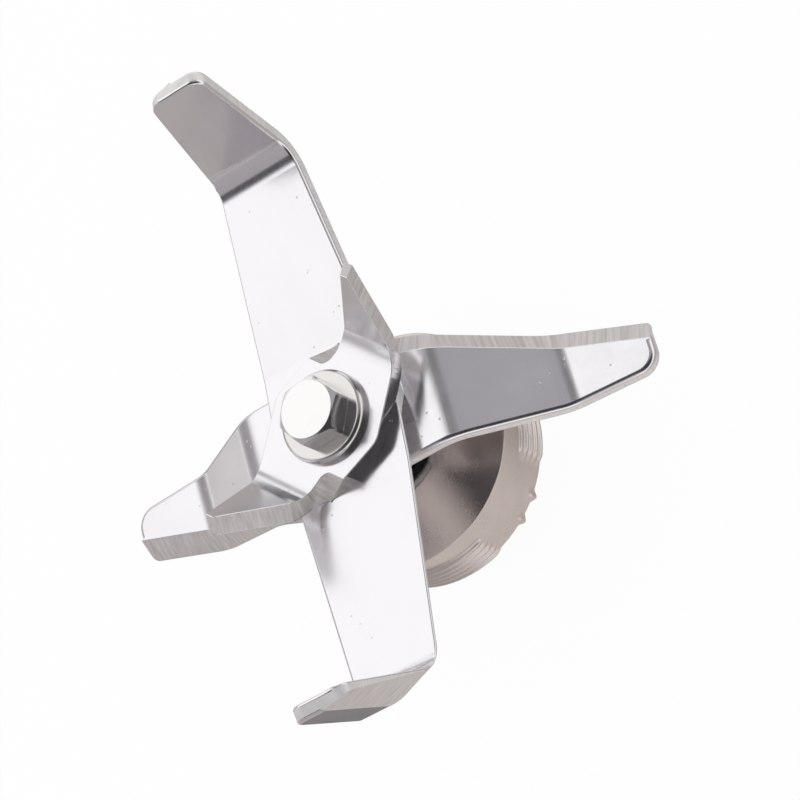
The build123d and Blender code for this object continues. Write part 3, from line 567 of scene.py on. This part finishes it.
def roll_edges(shape, roll, spared, resting):
    """Round all the edges of a flat blade."""
    shape.normal_update()
    round_edges(shape, SLOPE_MEETS, EDGE_SOFT, 2)
    shape.normal_update()
    round_edges(shape, WALL_MEETS, roll, 5, thin=FULL_WALL, spared=spared, resting=resting)
    shape.normal_update()
    round_edges(shape, WALL_MEETS, THIN_ROLL, 4, thin=THIN_WALL, thick=FULL_WALL, spared=spared)

print("edges meet at", SLOPE_MEETS, "or", WALL_MEETS, "degrees")

# %% Stack, cut and bend
GROUND_LEAN = 0.05      # mm, a side that leans more than this is ground
WELD_FLAT, WELD_ROLLED = 1e-4, 2e-3     # mm
BEND_STEP = math.radians(2.5)

def stacked(layers, wall):
    """A closed flat plate through outlines at several depths; its sides take the slot of a slope or of the wall."""
    shape = bmesh.new()
    rings = [[shape.verts.new(point) for point in layer] for layer in layers]
    count = len(rings[0])
    shape.faces.new(list(reversed(rings[0])))
    shape.faces.new(rings[-1])
    for lower, upper in zip(rings, rings[1:]):
        for index in range(count):
            after = (index + 1) % count
            face = shape.faces.new((lower[index], lower[after], upper[after], upper[index]))
            lean = max(abs(lower[i].co.y - upper[i].co.y) for i in (index, after))
            face.material_index = 1 if lean > GROUND_LEAN else wall
    weld(shape, WELD_FLAT)
    return shape

def cut_bends(shape, runs):
    """Cut the flat plate across at short steps wherever it will bend."""
    start = 0.0
    for length, swing in runs:
        steps = math.ceil(abs(swing) / BEND_STEP)
        for step in range(steps + 1 if swing else 0):
            place = start + length * step / steps
            for side in (place, -place):
                everything = shape.verts[:] + shape.edges[:] + shape.faces[:]
                bmesh.ops.bisect_plane(shape, geom=everything, dist=1e-5, plane_co=(side, 0, 0), plane_no=(1, 0, 0))
        start += length

def bend(shape, runs, height, turn):
    """Keep the flat pattern as a UV map, then move each point along the bent line and turn the blade to its place."""
    flat = shape.loops.layers.uv.new("flat_sheet")
    for face in shape.faces:
        for loop in face.loops:
            loop[flat].uv = (loop.vert.co.x, loop.vert.co.y + loop.vert.co.z)
    spin = Matrix.Rotation(math.radians(turn), 3, "Z")
    for vert in shape.verts:
        s, y, depth = vert.co
        x, z, aim = along(runs, abs(s))
        place = Vector((math.copysign(x - depth * math.sin(aim), s), y, height + z + depth * math.cos(aim)))
        vert.co = spin @ place * MM

print("bends are cut every", round(math.degrees(BEND_STEP), 2), "degrees")

# %% Blade as a piece
BLADE_SHARP = 24        # degrees, edges sharper than this stay crisp

def finished_piece(shape, name, node, body, materials, sharp, weight=50, thresh=0.01):
    """Make an object of a shape, with even shading, that stands for its CAD node and moves with a body."""
    for face in shape.faces:
        face.smooth = True
    mesh = bpy.data.meshes.new(name)
    shape.to_mesh(mesh)
    shape.free()
    for material in materials:
        mesh.materials.append(material)
    mesh.set_sharp_from_angle(angle=math.radians(sharp))
    piece = bpy.data.objects.new(name, mesh)
    bpy.context.scene.collection.objects.link(piece)
    weighted = piece.modifiers.new("even_normals", "WEIGHTED_NORMAL")
    weighted.keep_sharp = True
    weighted.weight, weighted.thresh = weight, thresh
    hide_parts(node)
    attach(piece, body)
    print(name, len(mesh.polygons), "faces")
    return piece

def blade_object(name, node, layers, runs, height, wall, turn, roll, spared=(), resting=0.0):
    """Build a bent blade from outlines through the depth of the sheet."""
    shape = stacked(layers, wall)
    roll_edges(shape, roll, spared, resting)
    weld(shape, WELD_ROLLED)
    reach = max(point.x for layer in layers for point in layer)
    for vert in shape.verts:        # a roll may not stand out past the end of the outline
        vert.co.x = min(reach, max(-reach, vert.co.x))
    cut_bends(shape, runs)
    bend(shape, runs, height, turn)
    return finished_piece(
        shape, name, node, "rotor", (blade_polish, blade_ground, blade_trim),
        BLADE_SHARP, weight=100, thresh=0.0,
    )

SHEET = 2.7             # mm, thickness of all three blades
STACK_BASE = 25.3       # mm, underside of the lowest blade

def ground_layers(outline, face, line, slope):
    """Two outlines for a slope ground on one face (1 top, -1 underside): its inner line, and the edge it leaves."""
    inner, edge = [], []
    for point in outline:
        arm = 1 if point.x > 0 else -1
        lead = point.y * arm
        start = min(lead, line(abs(point.x)))
        inner.append(Vector((point.x, start * arm, face * SHEET / 2)))
        edge.append(Vector((point.x, point.y, face * (SHEET / 2 - slope * (lead - start)))))
    return inner, edge

def flat_layer(outline, depth):
    """An outline at one depth of the sheet."""
    return [Vector((point.x, point.y, depth)) for point in outline]

print("sheet", SHEET, "mm")

# %% [markdown]
# ## Cross blade
# The lowest blade has two arms that drop over the housing and level out. Its leading edges carry a wide slope on top,
# which runs out near the hub, and its trailing edges are rolled widest of all. The outline is drawn in plan and
# unrolled on to the flat sheet, because the arms' ends have to come out at the right reach once they are bent.

# %% Cross blade
def half_turn(points):
    """The points and their mates half a turn on."""
    return points + [(-x, -y) for x, y in points]

CROSS_DROP_START, CROSS_DROP_END, CROSS_REACH = 17.5, 34.0, 50.2
CROSS_DROP_SLOPE = math.tan(math.radians(32))
CROSS_TIP_SLOPE = math.tan(math.radians(5))
CROSS_BEND_RADIUS = 10.0
CROSS_ROUNDS = [3.5, 1.2, 0]    # trailing and leading corner of the tip, start of the taper
CROSS_SIDE, CROSS_TAPER_START, CROSS_TIP_SETBACK = 11.0, 12.0, 2.4
CROSS_GROUND_WIDTH, CROSS_GROUND_DEPTH = 3.6, 2.4
CROSS_RUN_OUT = 10.0    # the slope fades over this length towards the hub

drop = CROSS_DROP_SLOPE * (CROSS_DROP_END - CROSS_DROP_START)
tip_drop = drop + CROSS_TIP_SLOPE * (CROSS_REACH + SHEET - CROSS_DROP_END)
cross_runs = bent_line(
    [(CROSS_DROP_START, 0), (CROSS_DROP_END, -drop), (CROSS_REACH + SHEET, -tip_drop)], [CROSS_BEND_RADIUS] * 2,
)
# the ends are square to the sloping sheet, so its upper corner reaches further than the middle line
CROSS_END = CROSS_REACH - SHEET / 2 * math.sin(math.atan(CROSS_TIP_SLOPE))
plan = rounded(
    half_turn([(CROSS_END, -CROSS_SIDE), (CROSS_END, -CROSS_TIP_SETBACK), (CROSS_TAPER_START, CROSS_SIDE)]),
    CROSS_ROUNDS * 2,
)
cross_flat = [Vector((unrolled(cross_runs, p.x), p.y)) for p in stepped(plan)]

def cross_line(s):
    """Inner line of the ground slope, from the middle of the arm."""
    x = along(cross_runs, s)[0]
    edge = CROSS_SIDE - (CROSS_SIDE + CROSS_TIP_SETBACK) * (x - CROSS_TAPER_START) / (CROSS_REACH - CROSS_TAPER_START)
    fade = min(1.0, max(0.0, (x - CROSS_TAPER_START) / CROSS_RUN_OUT + 1.0))
    return min(edge, CROSS_SIDE) - CROSS_GROUND_WIDTH * fade

cross_top, cross_edge = ground_layers(cross_flat, 1, cross_line, CROSS_GROUND_DEPTH / CROSS_GROUND_WIDTH)
blade_object(
    "cross_blade_ground", "cross_blade", [flat_layer(cross_flat, -SHEET / 2), cross_edge, cross_top],
    cross_runs, STACK_BASE + SHEET / 2, wall=2, turn=90, roll=0.9,
)

# %% [markdown]
# ## Long blade
# The middle blade has two arms that taper and rise a little, and then turn up sharply into the tips.
# It is ground from below, so the slope shows on the outside of each tip. Its outline is drawn on the flat sheet,
# since the tips stand almost upright and hardly show in plan.

# %% Long blade
LONG_HUB_HALF, LONG_BEND_HALF, LONG_BEND = 11.95, 7.3, 48.6
LONG_RISE_START, LONG_RISE = 12.5, math.radians(5.5)
LONG_TIP_TURN, LONG_TIP_LENGTH = math.radians(77), 24.2
LONG_TIP_LEADING, LONG_TIP_TRAILING, LONG_TIP_ROUND = 3.3, 6.8, 2.4
LONG_GROUND_WIDTH, LONG_GROUND_DEPTH = 4.6, 2.2
LONG_FACET_SETBACK = 1.0        # inner line of the slope on the tip, behind the middle line
LONG_TIP_SLOPE = 0.287          # depth of the slope on the tip over its width
LONG_EDGE_LEFT = 0.25           # of the sheet, at the ground edge
LONG_RUN_OUT = 4.0              # the slope fades over this length at the hub
LONG_RISE_RADIUS, LONG_BEND_RADIUS, LONG_SHOULDER_ROUND = 20.0, 6.3, 12

lift = math.tan(LONG_RISE) * (LONG_BEND - LONG_RISE_START)
tip_corner = (LONG_BEND + LONG_TIP_LENGTH * math.cos(LONG_TIP_TURN), lift + LONG_TIP_LENGTH * math.sin(LONG_TIP_TURN))
long_runs = bent_line([(LONG_RISE_START, 0), (LONG_BEND, lift), tip_corner], [LONG_RISE_RADIUS, LONG_BEND_RADIUS])
long_end = sum(length for length, _ in long_runs)
tip_from = long_end - long_runs[-1][0]
bend_from = tip_from - long_runs[-2][0]
tip_half = LONG_HUB_HALF - (LONG_HUB_HALF - LONG_BEND_HALF) * along(long_runs, tip_from)[0] / LONG_BEND
long_flat = stepped(rounded(
    half_turn([
        (0, -LONG_HUB_HALF), (tip_from, -tip_half), (long_end, -LONG_TIP_TRAILING),
        (long_end, LONG_TIP_LEADING), (tip_from, tip_half),
    ]),
    [0, LONG_SHOULDER_ROUND, LONG_TIP_ROUND, LONG_TIP_ROUND, LONG_SHOULDER_ROUND] * 2,
))

def eased(value, low, high):
    """Smooth step from 0 at low to 1 at high."""
    share = min(1.0, max(0.0, (value - low) / (high - low)))
    return share * share * (3 - 2 * share)

def long_line(s):
    """Inner line of the slope: at an even width under the arm, and straight up the middle of the tip."""
    half = LONG_HUB_HALF - (LONG_HUB_HALF - LONG_BEND_HALF) * along(long_runs, s)[0] / LONG_BEND
    arm = half - LONG_GROUND_WIDTH * min(1.0, s / LONG_RUN_OUT)
    return arm + (-LONG_FACET_SETBACK - arm) * eased(s, bend_from, tip_from)

def long_layers():
    """The slope is flatter on the tip, where it is wider."""
    inner, edge = ground_layers(long_flat, -1, long_line, LONG_GROUND_DEPTH / LONG_GROUND_WIDTH)
    for near, far in zip(inner, edge):
        share = eased(abs(near.x), bend_from, tip_from)
        width = abs(far.y - near.y)
        slope = LONG_GROUND_DEPTH / LONG_GROUND_WIDTH * (1 - share) + LONG_TIP_SLOPE * share
        far.z = min(SHEET / 2 - LONG_EDGE_LEFT, width * slope - SHEET / 2)
    return [inner, edge, flat_layer(long_flat, SHEET / 2)]

blade_object(
    "long_blade_ground", "long_blade", long_layers(), long_runs, STACK_BASE + 1.5 * SHEET, wall=2, turn=0, roll=0.55,
    spared=(1,),
)

# %% [markdown]
# ## Top blade
# The small blade on top is a six-sided plate with two narrow wings bent up steeply. The plate's sides and the wings'
# trailing sides stand upright. The leading side of each wing, and the scoop at its root, are cut square to the wing.
# So the two outlines, one on each face of the sheet, are put together from these stretches and have the same number
# of points. The leading side also slopes through the whole sheet, and its lower edge is the sharp one.

# %% Top blade
TOP_TURN = 133.4
TOP_BEND, TOP_WING_TURN, TOP_WING_LENGTH = 13.9, math.radians(59.5), 16.8
TOP_SIDE, TOP_CORNER, TOP_LEAD, TOP_ROOT = (0, -11.1), (12.2, -8.0), (7.0, 8.5), (13.4, 5.0)
TOP_TIP = (23.6, -2.0)
TOP_SIDE_BOW, TOP_CORNER_BOW, TOP_BEND_RADIUS = 1.2, 2.0, 6.6
WING_ROOT, WING_FROM, WING_SLANT = 3.6, -0.55, 0.311       # leading edge on the inner face of the wing
OUTER_SLANT, OUTER_TIP = 0.3375, -0.3                      # and on its outer face
SHOULDER, SHOULDER_CRISP = 3.75, 6
SCOOP_START, SCOOP_ROUND = -2.05, 2.2
WING_STEPS, SCOOP_STEPS = 30, 8
wing_x = TOP_BEND + TOP_WING_LENGTH * math.cos(TOP_WING_TURN)
wing_z = TOP_WING_LENGTH * math.sin(TOP_WING_TURN)
top_runs = bent_line([(TOP_BEND, 0), (wing_x, wing_z)], [TOP_BEND_RADIUS])

def between(start, end, count):
    """Points on a straight line, without its start."""
    return [Vector(start).lerp(Vector(end), (step + 1) / count) for step in range(count)]

def bow(before, spot, after, reach):
    """Points round a corner of the plan."""
    spot = Vector(spot)
    start = spot + (Vector(before) - spot).normalized() * reach
    end = spot + (Vector(after) - spot).normalized() * reach
    return [start.lerp(spot, step / 6).lerp(spot.lerp(end, step / 6), step / 6) for step in range(7)]

def wing_edge(q, lower):
    """Leading edge at a distance up the wing: straight on the inner face, with a shoulder on the outer one."""
    if not lower:
        return WING_ROOT - (q - WING_FROM) * WING_SLANT
    slant = OUTER_SLANT * (TOP_WING_LENGTH - q) + OUTER_TIP
    return -math.log(math.exp(-SHOULDER_CRISP * slant) + math.exp(-SHOULDER_CRISP * SHOULDER)) / SHOULDER_CRISP

def top_layer(depth):
    """Outline of one face of the sheet, at its depth."""
    lower = depth < 0
    tip_x = wing_x - depth * math.sin(TOP_WING_TURN)
    tip = Vector(TOP_CORNER).lerp(Vector(TOP_TIP), (tip_x - TOP_CORNER[0]) / (TOP_TIP[0] - TOP_CORNER[0]))
    plan = bow((-TOP_LEAD[0], -TOP_LEAD[1]), TOP_SIDE, TOP_CORNER, TOP_SIDE_BOW)
    plan += bow(TOP_SIDE, TOP_CORNER, tip, TOP_CORNER_BOW)
    plan += between(plan[-1], tip, 24)
    half = [Vector((unrolled(top_runs, spot.x, depth), spot.y, depth)) for spot in plan]
    inner = SCOOP_START + SCOOP_ROUND
    heights = [TOP_WING_LENGTH + (inner - TOP_WING_LENGTH) * step / WING_STEPS for step in range(WING_STEPS + 1)]
    wing = [Vector((q, wing_edge(q, lower))) for q in heights]
    centre = Vector((inner, wing[-1].y + SCOOP_ROUND))
    turns = [step * math.pi / (2 * SCOOP_STEPS) for step in range(1, SCOOP_STEPS + 1)]
    wing += [centre + SCOOP_ROUND * Vector((-math.sin(turn), -math.cos(turn))) for turn in turns]
    wall_x = TOP_BEND + (SCOOP_START - depth * math.sin(TOP_WING_TURN)) / math.cos(TOP_WING_TURN)
    wall_y = TOP_ROOT[1] + (TOP_ROOT[0] - wall_x) * (TOP_LEAD[1] - TOP_ROOT[1]) / (TOP_ROOT[0] - TOP_LEAD[0])
    wing += between(wing[-1], (SCOOP_START, wall_y), 4)
    shift = TOP_BEND * math.cos(TOP_WING_TURN)
    half += [Vector((unrolled(top_runs, q + shift, depth, TOP_WING_TURN), y, depth)) for q, y in wing]
    half += [Vector((unrolled(top_runs, x, depth), y, depth)) for x, y in between((wall_x, wall_y), TOP_LEAD, 6)]
    return half + [Vector((-spot.x, -spot.y, depth)) for spot in half]

blade_object(
    "top_blade_ground", "top_blade", [top_layer(-SHEET / 2), top_layer(SHEET / 2)],
    top_runs, STACK_BASE + 2.5 * SHEET, wall=0, turn=TOP_TURN, roll=0.14, resting=TOP_BEND,
)

# %% [markdown]
# ## Turned pieces
# The bolt and the housing are round, so both are built as rings of points round the shaft. A function gives each
# point's radius, and this lets the hexagon, the thread and the lugs be part of the same rings. A screw modifier would
# turn a profile too, but it couldn't change the radius on the way round.

# %% Rings round the shaft
TURNED_SHARP = 38       # degrees, edges sharper than this stay crisp

def turned_object(name, node, body, profile, radius_at, count, materials, closed):
    """Sweep a profile of (radius, height) round the shaft; radius_at changes the radius by place."""
    shape = bmesh.new()
    rings = []
    for r, z in profile:
        ring = []
        for index in range(count):
            angle = 2 * math.pi * index / count
            reach = radius_at(r, z, angle) * MM
            ring.append(shape.verts.new((reach * math.cos(angle), reach * math.sin(angle), z * MM)))
        rings.append(ring)
    for lower, upper in zip(rings, rings[1:] + (rings[:1] if closed else [])):
        for index in range(count):
            after = (index + 1) % count
            shape.faces.new((lower[index], lower[after], upper[after], upper[index]))
    bmesh.ops.remove_doubles(shape, verts=shape.verts, dist=1e-7)
    bmesh.ops.recalc_face_normals(shape, faces=shape.faces)
    return finished_piece(shape, name, node, body, materials, TURNED_SHARP)

print("turned pieces keep edges sharper than", TURNED_SHARP, "degrees")

# %% Hexagon bolt
HEAD_BASE, HEAD_HEIGHT = 35.0, 4.0
HEAD_FLATS, HEAD_FACE, HEAD_TURN = 10.0, 4.75, math.radians(33)
HEAD_CONE = math.tan(math.radians(30))
HEAD_FOOT, FOOT_INSET, FOOT_RISE = HEAD_FLATS - 0.2, 0.15, 0.15     # the head's lower edge is broken
HEAD_RIM = [(0.06, -0.03), (0, -0.005), (-0.12, 0)]     # soft rim of the top face: outwards, upwards
CORNER_ROUND = 0.10
SHANK_RADIUS, SHANK_LENGTH, SHANK_CHAMFER = 2.98, 20.0, 0.6
BOLT_STEPS = 240
bolt_steel = polished("bolt_steel", (0.86, 0.85, 0.845), (0.92, 0.91, 0.905), flat=False, hairlines=2.0, pits=0.4)

def hexagon(angle):
    """Radius of the hexagon, with slightly rounded corners."""
    sector = math.radians(60)
    off = (angle - HEAD_TURN) % sector - sector / 2
    corner = HEAD_FLATS / math.sqrt(3)
    return min(HEAD_FLATS / 2 / math.cos(off), corner - CORNER_ROUND)

def bolt_radius(r, z, angle):
    """The head's sides follow the hexagon; everything else is round."""
    if r == HEAD_FLATS:
        return hexagon(angle)
    if r == HEAD_FOOT:
        return hexagon(angle) - FOOT_INSET
    return r

head_top, shank_end = HEAD_BASE + HEAD_HEIGHT, HEAD_BASE - SHANK_LENGTH
bolt_profile = [
    (0, shank_end), (SHANK_RADIUS - SHANK_CHAMFER, shank_end),
    (SHANK_RADIUS, shank_end + SHANK_CHAMFER), (SHANK_RADIUS, HEAD_BASE),
    (HEAD_FOOT, HEAD_BASE), (HEAD_FLATS, HEAD_BASE + FOOT_RISE), (HEAD_FLATS, head_top),
    *((HEAD_FACE + out, head_top + up) for out, up in HEAD_RIM), (0, head_top),
]
bolt = turned_object(
    "hexagon_bolt_bright", "hex_bolt", "rotor",
    bolt_profile, bolt_radius, BOLT_STEPS, [bolt_steel], closed=False,
)
for vert in bolt.data.vertices:
    reach = vert.co.xy.length / MM
    if reach > HEAD_FACE + 0.1 and vert.co.z > (HEAD_BASE + 1) * MM:
        vert.co.z = (head_top - (reach - HEAD_FACE) * HEAD_CONE) * MM
print("bolt head", HEAD_FLATS, "mm across flats")

# %% [markdown]
# ## Housing
# The housing has a conical top, a smooth band and below it the fixing thread. The thread is a ridge that climbs with
# the angle, and its grooves are soft and half as deep as the crest is high. It stops at two plain stretches, and two
# small lugs stand on the bottom edge in each. They are soft bumps that are highest at the edge, because steep flanks
# would mirror the dark cards and look like holes. The steel is turned and blasted, so it is satin and a little warm,
# with fine lines round the shaft.

# %% Satin steel of the housing
LATHE_DEPTH, BLAST_DEPTH = 0.02, 0.012      # mm

def satin(name, dark, light, rough_low, rough_high):
    """Turned and blasted steel: fine lines round the shaft and a slightly blotchy tone."""
    material, tree, out = new_material(name)
    metal = add(tree, "ShaderNodeBsdfPrincipled", Metallic=1.0)
    source = mark_source(tree, flat=False)
    parts = add(tree, "ShaderNodeSeparateXYZ")
    tree.links.new(source, parts.inputs[0])
    flatwise = add(tree, "ShaderNodeCombineXYZ")
    tree.links.new(parts.outputs["X"], flatwise.inputs["X"])
    tree.links.new(parts.outputs["Y"], flatwise.inputs["Y"])
    reach = add(tree, "ShaderNodeVectorMath", operation="LENGTH")
    tree.links.new(flatwise.outputs[0], reach.inputs[0])
    lathe = add(tree, "ShaderNodeCombineXYZ")
    tree.links.new(reach.outputs["Value"], lathe.inputs["X"])
    tree.links.new(parts.outputs["Z"], lathe.inputs["Y"])
    rings = noise_at(tree, lathe.outputs[0], Scale=2.6, Detail=4.0)
    grain = noise_at(tree, source, Scale=3.2, Detail=5.0)
    stain = noise_at(tree, source, Scale=0.16, Detail=5.0, Roughness=0.65)
    tone = ranged(tree, stain, From_Min=0.3, From_Max=0.7)
    tree.links.new(tone_between(tree, tone, dark, light), metal.inputs["Base Color"])
    rough = ranged(tree, stain, From_Min=0.3, From_Max=0.7, To_Min=rough_low, To_Max=rough_high)
    tree.links.new(rough, metal.inputs["Roughness"])
    lines = value_of(tree, "MULTIPLY", rings, LATHE_DEPTH)
    height = value_of(tree, "ADD", lines, value_of(tree, "MULTIPLY", grain, BLAST_DEPTH))
    raised(tree, height, metal)
    tree.links.new(metal.outputs[0], out.inputs["Surface"])
    return material

housing_satin = satin("housing_satin", (0.68, 0.62, 0.595), (0.77, 0.70, 0.675), 0.25, 0.33)
print("material:", housing_satin.name)

# %% Housing with its thread
RIM_HEIGHT, BAND_RADIUS, BAND_HEIGHT = 11.5, 20.08, 4.3
CONE_SLOPE = math.tan(math.radians(25))
THREAD_DEPTH, THREAD_PITCH = 0.92, 1.5
GROOVE = 0.5                                        # share of the depth that is left standing in a groove
THREAD_START, THREAD_END = 0.8, 1.0                 # mm, over which the thread fades at the bottom and the top
GAP_MIDDLE, GAP_HALF, RUN_OUT = 43.0, 19.0, 7.0     # degrees
LUG_OFFSET, LUG_HALF = 6.0, 3.6                     # degrees
LUG_FOOT, LUG_HEIGHT = 0.4, 2.6                     # mm, a lug fades from its foot upwards
THREAD_STEP, PLAIN_STEP, HOUSING_STEPS = 0.1, 1.5, 360      # mm, mm, points round the shaft
HUB_RADIUS, HUB_LENGTH, HUB_CHAMFER, BORE = 13.5, 6.6, 0.6, 11.0
SEAL_RADIUS, SEAL_BASE, SHOULDER_RADIUS, SHOULDER_BASE = 10.0, 11.2, 8.3, 10.0
GROOVE_TOP, GROOVE_BASE, GROOVE_RADIUS = -4.0, -5.02, 11.5
seal_top = RIM_HEIGHT + (BAND_RADIUS - SEAL_RADIUS) * CONE_SLOPE
thread_top = RIM_HEIGHT - BAND_HEIGHT

def housing_radius(r, z, angle):
    """Add the thread and the lugs to the band."""
    if r < BAND_RADIUS - 0.01 or z > thread_top or z < 0:
        return r
    degrees = math.degrees(angle)
    off = abs((degrees - GAP_MIDDLE + 90) % 180 - 90)
    phase = (z / THREAD_PITCH - degrees / 360) % 1.0
    wave = 1 - eased(abs(phase - 0.5), 0.0, 0.5)
    thread = (GROOVE + (1 - GROOVE) * wave) * eased(off, GAP_HALF, GAP_HALF + RUN_OUT)
    thread *= eased(z, 0.0, THREAD_START) * eased(thread_top - z, 0.0, THREAD_END)
    lug = eased(LUG_HALF - abs(off - LUG_OFFSET), 0.0, LUG_HALF) * (1 - eased(z, LUG_FOOT, LUG_HEIGHT))
    return r + THREAD_DEPTH * max(thread, lug)

corners = [
    (BORE, -HUB_LENGTH), (HUB_RADIUS - HUB_CHAMFER, -HUB_LENGTH),
    (HUB_RADIUS, HUB_CHAMFER - HUB_LENGTH), (HUB_RADIUS, 0),
    (BAND_RADIUS, 0), (BAND_RADIUS, thread_top), (BAND_RADIUS, RIM_HEIGHT),
    (SEAL_RADIUS, seal_top), (SEAL_RADIUS, SEAL_BASE),
    (SHOULDER_RADIUS, SEAL_BASE), (SHOULDER_RADIUS, SHOULDER_BASE), (BORE, SHOULDER_BASE),
    (BORE, GROOVE_TOP), (GROOVE_RADIUS, GROOVE_TOP), (GROOVE_RADIUS, GROOVE_BASE), (BORE, GROOVE_BASE),
]
rounds = [0.2, 0.15, 0.15, 0.3, 0.25, 0, 0.4, 0.3, 0.1, 0.15, 0.15, 0.1, 0.05, 0.05, 0.05, 0.05]
outline = rounded(corners, rounds)
profile = []
for index, point in enumerate(outline):
    after = outline[(index + 1) % len(outline)]
    threaded = min(point.x, after.x) > BAND_RADIUS - 0.01 and after.y < thread_top + 0.01
    count = math.ceil((after - point).length / (THREAD_STEP if threaded else PLAIN_STEP))
    profile += [tuple(point + (after - point) * step / count) for step in range(count)]
turned_object(
    "housing_threaded", "housing", "housing_group",
    profile, housing_radius, HOUSING_STEPS, [housing_satin], closed=True,
)

# %% [markdown]
# ## Pieces that keep their CAD shape
# The washer, the collar, the spindle, the seal and the bearings have the right shape already.
# They keep their meshes and only get finishes in place of the plain packed colours.

# %% Finishes for the CAD nodes
GRAIN_DEPTH = 0.02      # mm

def plain(name, colour, roughness, metallic, grain):
    """A simple finish with a fine grain in its tone and height."""
    material, tree, out = new_material(name)
    surface = add(tree, "ShaderNodeBsdfPrincipled", Metallic=metallic)
    source = mark_source(tree, flat=False)
    specks = noise_at(tree, source, Scale=grain, Detail=4.0)
    darker = tuple(0.85 * part for part in colour)
    tree.links.new(tone_between(tree, specks, darker, colour), surface.inputs["Base Color"])
    rough = ranged(tree, specks, To_Min=0.8 * roughness, To_Max=1.2 * roughness)
    tree.links.new(rough, surface.inputs["Roughness"])
    raised(tree, value_of(tree, "MULTIPLY", specks, GRAIN_DEPTH), surface)
    tree.links.new(surface.outputs[0], out.inputs["Surface"])
    return material

washer_steel = polished("washer_steel", (0.70, 0.68, 0.66), (0.80, 0.78, 0.77), flat=False, hairlines=1.5, pits=0.3)
spindle_steel = satin("spindle_steel", (0.55, 0.54, 0.53), (0.66, 0.65, 0.64), 0.22, 0.32)
bearing_steel = plain("bearing_steel", (0.66, 0.66, 0.67), 0.22, 1.0, 2.0)
cage_brass = plain("cage_brass", (0.72, 0.56, 0.28), 0.32, 1.0, 2.5)
seal_rubber = plain("seal_rubber", (0.03, 0.03, 0.03), 0.62, 0.0, 4.0)
finishes = {"bolt_steel": washer_steel, "spindle_steel": spindle_steel, "bearing_steel": bearing_steel,
            "cage_brass": cage_brass, "seal_rubber": seal_rubber}
for part in frame["record"]["subparts"]:
    finish = finishes.get(part["material_slot"])
    node = frame["nodes"][part["node"]]
    if finish is not None and node.material_slots:
        for material_slot in node.material_slots:
            material_slot.material = finish

# %% Print the CAD box and finish
print("cad box", [[round(v / MM, 2) for v in corner] for corner in cad_box])
